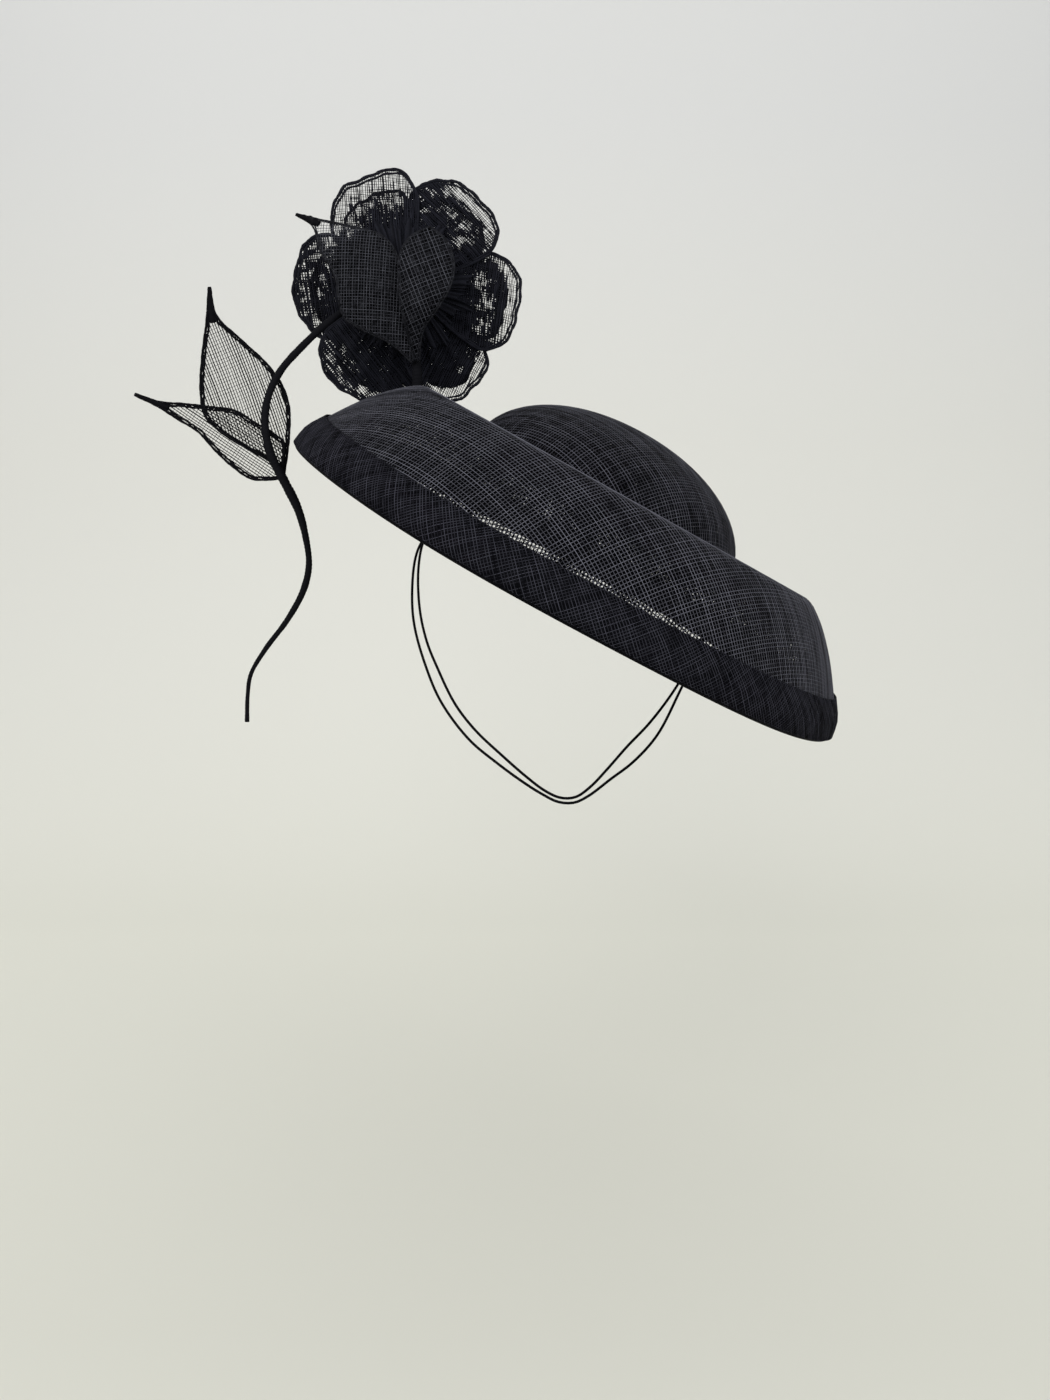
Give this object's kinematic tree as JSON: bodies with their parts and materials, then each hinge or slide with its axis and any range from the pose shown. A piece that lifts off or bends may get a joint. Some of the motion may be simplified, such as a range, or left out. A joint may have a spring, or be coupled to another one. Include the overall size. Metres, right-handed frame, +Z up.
{
  "type": "fascinator",
  "caption": "Saucer-brimmed sinamay fascinator worn tilted, with a sinamay flower, leaves, a hanging wire tendril and elastic chin loops.",
  "frame": {"origin": "centre of the round head opening, where the hat sits on a head", "axes": "+Z up as worn, +X from the high side with the flower to the low side, -Y the near side; the hat's own axis leans 28.5 degrees from +Z towards +X and 3.9 degrees towards -Y"},
  "size_m": [0.3891, 0.3361, 0.3489],
  "materials": {
    "sinamay": "stiffened open-weave sinamay, black, slightly glossy straw fibre",
    "binding": "bias-cut sinamay strip, denser, black",
    "wrapped_wire": "wire wrapped in matte black fabric",
    "elastic": "round braided hat elastic, black"
  },
  "bodies": {
    "root": {"crown": "sinamay", "brim": "sinamay", "brim_binding": "binding", "flower_core": "sinamay", "petal_outer_1": "sinamay", "petal_outer_2": "sinamay", "petal_outer_3": "sinamay", "petal_outer_4": "sinamay", "petal_outer_5": "sinamay", "petal_outer_6": "sinamay", "petal_inner_1": "sinamay", "petal_inner_2": "sinamay", "petal_inner_3": "sinamay", "petal_inner_4": "sinamay", "petal_inner_5": "sinamay", "petal_inner_6": "sinamay", "flower_leaf_left": "sinamay", "flower_leaf_right": "sinamay", "flower_stalk": "wrapped_wire", "tendril": "wrapped_wire", "tendril_leaf_upper": "sinamay", "tendril_leaf_lower": "sinamay", "elastic_outer": "elastic", "elastic_inner": "elastic"}
  },
  "joints": []
}
